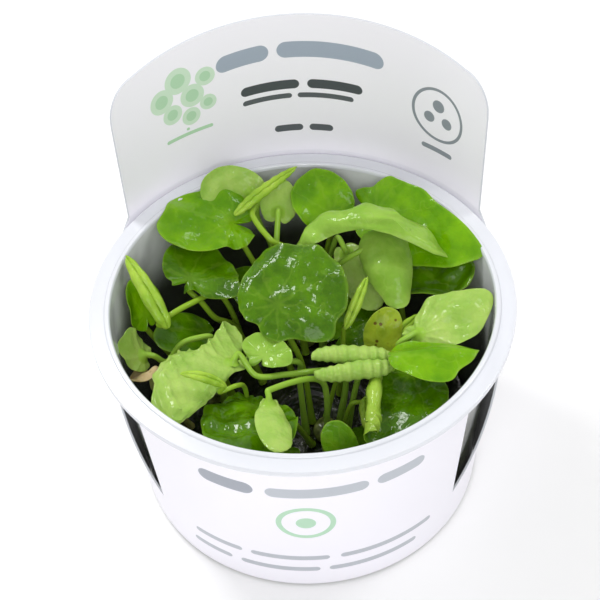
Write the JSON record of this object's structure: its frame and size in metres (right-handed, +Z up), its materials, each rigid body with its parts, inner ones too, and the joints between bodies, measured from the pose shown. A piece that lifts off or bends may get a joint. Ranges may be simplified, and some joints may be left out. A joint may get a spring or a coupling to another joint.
{
  "type": "floating heart plantlets in a cup",
  "caption": "Floating heart plantlets with heart-shaped leaves on long petioles, growing in an open clear cup inside a white card sleeve with a tall header.",
  "frame": {"origin": "centre of the cup's base, on the surface that it stands on", "axes": "+Z up along the cup's axis, +Y toward the card's tall header, so the apron faces -Y"},
  "size_m": [0.1, 0.1042, 0.098],
  "materials": {
    "cup": "clear, slightly milky",
    "card_sleeve": "smooth white coated card",
    "growing_medium": "wet, almost black",
    "crown_front": "wet stem tissue",
    "crown_left": "wet stem tissue",
    "crown_back": "wet stem tissue",
    "crown_right": "wet stem tissue",
    "leaf_centre_large": "wet glossy leaf, dark green",
    "leaf_centre_puckered": "pale leaf underside",
    "leaf_back_left": "wet leaf, fresh green",
    "leaf_back_wall_left": "pale leaf underside",
    "leaf_left_inner": "wet glossy leaf, dark green",
    "young_leaf_left": "wet leaf, fresh green",
    "leaf_left_wall": "wet glossy leaf, dark green",
    "leaf_left_pleated": "pale leaf underside",
    "leaf_left_withered": "withered leaf, brown",
    "leaf_left_low": "wet glossy leaf, dark green",
    "leaf_front_left_large": "pale leaf underside",
    "young_leaf_horn": "wet leaf, fresh green",
    "leaf_front_glossy": "wet glossy leaf, dark green",
    "leaf_front_pale": "pale leaf underside",
    "young_leaf_right": "pale leaf underside",
    "leaf_right_folded": "wet leaf, fresh green",
    "leaf_small_round": "wet leaf, fresh green",
    "leaf_front_right_large": "wet glossy leaf, dark green",
    "leaf_right_pale": "pale leaf underside",
    "leaf_right_crumpled": "wet glossy leaf, dark green",
    "leaf_back_right_large": "wet leaf, fresh green",
    "leaf_back_arched": "pale leaf underside",
    "leaf_back_draped": "pale leaf underside",
    "leaf_back_middle": "wet glossy leaf, dark green",
    "leaf_back_pale": "pale leaf underside",
    "young_leaf_back": "wet leaf, fresh green",
    "leaf_centre_pale": "pale leaf underside",
    "young_leaf_centre": "wet leaf, fresh green",
    "leaf_spotted": "wet leaf, fresh green",
    "young_leaf_right_tip": "wet leaf, fresh green",
    "young_leaf_front_bud": "wet leaf, fresh green",
    "leaf_low_front_left": "wet glossy leaf, dark green",
    "leaf_low_front_right": "wet glossy leaf, dark green",
    "leaf_low_back": "wet glossy leaf, dark green",
    "leaf_low_centre": "wet glossy leaf, dark green"
  },
  "bodies": {
    "root": {"cup": "cup", "card_sleeve": "card_sleeve", "growing_medium": "growing_medium", "crown_front": "crown_front", "crown_left": "crown_left", "crown_back": "crown_back", "crown_right": "crown_right", "leaf_centre_large": "leaf_centre_large", "leaf_centre_puckered": "leaf_centre_puckered", "leaf_back_left": "leaf_back_left", "leaf_back_wall_left": "leaf_back_wall_left", "leaf_left_inner": "leaf_left_inner", "young_leaf_left": "young_leaf_left", "leaf_left_wall": "leaf_left_wall", "leaf_left_pleated": "leaf_left_pleated", "leaf_left_withered": "leaf_left_withered", "leaf_left_low": "leaf_left_low", "leaf_front_left_large": "leaf_front_left_large", "young_leaf_horn": "young_leaf_horn", "leaf_front_glossy": "leaf_front_glossy", "leaf_front_pale": "leaf_front_pale", "young_leaf_right": "young_leaf_right", "leaf_right_folded": "leaf_right_folded", "leaf_small_round": "leaf_small_round", "leaf_front_right_large": "leaf_front_right_large", "leaf_right_pale": "leaf_right_pale", "leaf_right_crumpled": "leaf_right_crumpled", "leaf_back_right_large": "leaf_back_right_large", "leaf_back_arched": "leaf_back_arched", "leaf_back_draped": "leaf_back_draped", "leaf_back_middle": "leaf_back_middle", "leaf_back_pale": "leaf_back_pale", "young_leaf_back": "young_leaf_back", "leaf_centre_pale": "leaf_centre_pale", "young_leaf_centre": "young_leaf_centre", "leaf_spotted": "leaf_spotted", "young_leaf_right_tip": "young_leaf_right_tip", "young_leaf_front_bud": "young_leaf_front_bud", "leaf_low_front_left": "leaf_low_front_left", "leaf_low_front_right": "leaf_low_front_right", "leaf_low_back": "leaf_low_back", "leaf_low_centre": "leaf_low_centre"}
  },
  "joints": []
}
